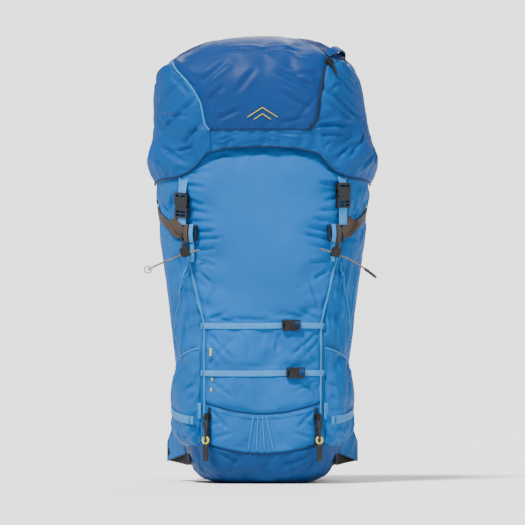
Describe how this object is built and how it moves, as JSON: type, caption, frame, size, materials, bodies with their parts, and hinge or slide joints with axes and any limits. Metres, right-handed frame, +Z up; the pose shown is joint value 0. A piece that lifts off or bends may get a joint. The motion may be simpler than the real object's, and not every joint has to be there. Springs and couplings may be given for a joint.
{
  "type": "travel backpack",
  "caption": "Tall top-loading trekking backpack with a zipped floating lid, lower compartment, side pockets, webbing straps and a padded harness with a hip belt.",
  "frame": {"origin": "on the flat base, on the pack's mid-plane, under the main compartment", "axes": "+Z up, -Y towards the outer front with the straps and buckles, +Y towards the wearer's back"},
  "size_m": [0.4228, 0.5661, 0.824],
  "materials": {
    "shell_fabric": "matte woven",
    "side_fabric": "matte woven",
    "lid_fabric": "matte woven",
    "base_fabric": "coated woven",
    "lining": "matte woven",
    "blue_webbing": "ribbed",
    "taupe_webbing": "ribbed",
    "black_webbing": "ribbed",
    "cord": "braided",
    "buckle_plastic": "satin moulded",
    "pull_plastic": "satin moulded",
    "zip_tape": "ribbed coil",
    "foam_mesh": "spacer mesh",
    "sheet_plastic": "smooth",
    "stay_metal": "satin"
  },
  "bodies": {
    "main_bag": {"back_foam": "foam_mesh", "bag_webbing": "blue_webbing", "bottom_panel": "base_fabric", "bungee_left": "cord", "bungee_right": "cord", "collar": "side_fabric", "collar_drawcord": "cord", "compartment_panel": "shell_fabric", "compartment_zip": "zip_tape", "cord_locks": "buckle_plastic", "frame_stays": "stay_metal", "framesheet": "sheet_plastic", "front_buckle_females": "buckle_plastic", "front_panel": "shell_fabric", "front_short_strap_lower": "blue_webbing", "front_short_strap_upper": "blue_webbing", "hip_fins": "side_fabric", "ladder_locks": "buckle_plastic", "lid_buckle_males": "buckle_plastic", "load_lifters": "black_webbing", "lower_straps": "black_webbing", "lumbar_pad": "foam_mesh", "rear_panel": "lining", "side_panel_left": "side_fabric", "side_panel_right": "side_fabric", "side_pocket_left": "side_fabric", "side_pocket_right": "side_fabric", "yoke": "foam_mesh"},
    "lid": {"lid_shell": "lid_fabric", "lid_front_panel": "lid_fabric", "lid_underside": "lining", "lid_zip": "zip_tape", "lid_webbing": "blue_webbing", "lid_buckle_females": "buckle_plastic"},
    "lid_slider": {"lid_zip_slider": "pull_plastic"},
    "lid_pull": {"lid_zip_pull": "pull_plastic"},
    "harness": {"shoulder_strap_left": "foam_mesh", "shoulder_strap_right": "foam_mesh", "strap_adjusters": "buckle_plastic"},
    "chest_strap": {"sternum_strap_left": "black_webbing", "sternum_strap_right": "black_webbing", "sternum_clips": "buckle_plastic", "sternum_buckle_female": "buckle_plastic"},
    "chest_latch": {"sternum_buckle_male": "buckle_plastic"},
    "belt_left": {"belt_wing_left": "foam_mesh", "belt_webbing_left": "black_webbing"},
    "belt_right": {"belt_wing_right": "foam_mesh", "belt_webbing_right": "black_webbing", "belt_buckle_female": "buckle_plastic"},
    "belt_latch": {"belt_buckle_male": "buckle_plastic"},
    "front_latch_upper": {"front_buckle_male_upper": "buckle_plastic"},
    "front_latch_lower": {"front_buckle_male_lower": "buckle_plastic"},
    "slider_left": {"compartment_slider_left": "pull_plastic"},
    "slider_right": {"compartment_slider_right": "pull_plastic"},
    "pull_left": {"compartment_pull_left": "pull_plastic"},
    "pull_right": {"compartment_pull_right": "pull_plastic"},
    "haul_handle": {"haul_loop": "black_webbing"},
    "collar_button": {"collar_lock_button": "buckle_plastic"},
    "tool_button_left": {"bungee_button_left": "buckle_plastic"},
    "tool_button_right": {"bungee_button_right": "buckle_plastic"}
  },
  "joints": [
    {"name": "lid_hinge", "type": "hinge", "parent": "main_bag", "child": "lid", "pos_m": [0, 0.117, 0.554], "axis": [-1, 0, 0], "range_deg": [0, 80]},
    {"name": "lid_zip_travel", "type": "slide", "parent": "lid", "child": "lid_slider", "axis": [-0.2315, -0.6104, -0.7575], "range_m": [0, 0.018]},
    {"name": "lid_pull_swing", "type": "hinge", "parent": "lid_slider", "child": "lid_pull", "pos_m": [0.12362, -0.16315, 0.77017], "axis": [-0.8528, -0.5222, 0], "range_deg": [0, 50]},
    {"name": "harness_swing", "type": "hinge", "parent": "main_bag", "child": "harness", "pos_m": [0, 0.125, 0.5], "axis": [1, 0, 0], "range_deg": [0, 12], "deforming": ["load_lifters", "lower_straps"]},
    {"name": "sternum_height", "type": "slide", "parent": "harness", "child": "chest_strap", "axis": [0, 0, 1], "range_m": [-0.025, 0.025]},
    {"name": "sternum_release", "type": "slide", "parent": "chest_strap", "child": "chest_latch", "axis": [1, 0, 0], "range_m": [0, 0.02], "deforming": ["sternum_strap_right"]},
    {"name": "belt_left_wing", "type": "hinge", "parent": "main_bag", "child": "belt_left", "pos_m": [-0.0762, 0.1326, 0.07], "axis": [0, 0, 1], "range_deg": [0, 40]},
    {"name": "belt_right_wing", "type": "hinge", "parent": "main_bag", "child": "belt_right", "pos_m": [0.0762, 0.1326, 0.07], "axis": [0, 0, -1], "range_deg": [0, 40]},
    {"name": "belt_release", "type": "slide", "parent": "belt_left", "child": "belt_latch", "axis": [1, 0, 0], "range_m": [0, 0.048], "deforming": ["belt_webbing_left"]},
    {"name": "front_release_upper", "type": "slide", "parent": "main_bag", "child": "front_latch_upper", "axis": [1, 0, 0], "range_m": [0, 0.018], "deforming": ["front_short_strap_upper"]},
    {"name": "front_release_lower", "type": "slide", "parent": "main_bag", "child": "front_latch_lower", "axis": [1, 0, 0], "range_m": [0, 0.018], "deforming": ["front_short_strap_lower"]},
    {"name": "compartment_zip_left", "type": "slide", "parent": "main_bag", "child": "slider_left", "axis": [0, 0.1463, -0.9892], "range_m": [0, 0.028]},
    {"name": "compartment_pull_left_swing", "type": "hinge", "parent": "slider_left", "child": "pull_left", "pos_m": [-0.10327, -0.15495, 0.12134], "axis": [-0.8625, 0.5061, 0], "range_deg": [0, 90]},
    {"name": "compartment_zip_right", "type": "slide", "parent": "main_bag", "child": "slider_right", "axis": [0, 0.1463, -0.9892], "range_m": [0, 0.028]},
    {"name": "compartment_pull_right_swing", "type": "hinge", "parent": "slider_right", "child": "pull_right", "pos_m": [0.10327, -0.15495, 0.12134], "axis": [-0.8625, -0.5061, 0], "range_deg": [0, 90]},
    {"name": "haul_swing", "type": "hinge", "parent": "main_bag", "child": "haul_handle", "pos_m": [0, 0.1165, 0.6], "axis": [1, 0, 0], "range_deg": [0, 90]},
    {"name": "collar_button_press", "type": "slide", "parent": "main_bag", "child": "collar_button", "axis": [-1, 0, 0], "range_m": [0, 0.005], "stiffness_N_per_m": 250},
    {"name": "tool_button_left_press", "type": "slide", "parent": "main_bag", "child": "tool_button_left", "axis": [0.2825, -0.0743, -0.9564], "range_m": [0, 0.0025], "stiffness_N_per_m": 250},
    {"name": "tool_button_right_press", "type": "slide", "parent": "main_bag", "child": "tool_button_right", "axis": [-0.3057, -0.0582, -0.9503], "range_m": [0, 0.0025], "stiffness_N_per_m": 250}
  ]
}
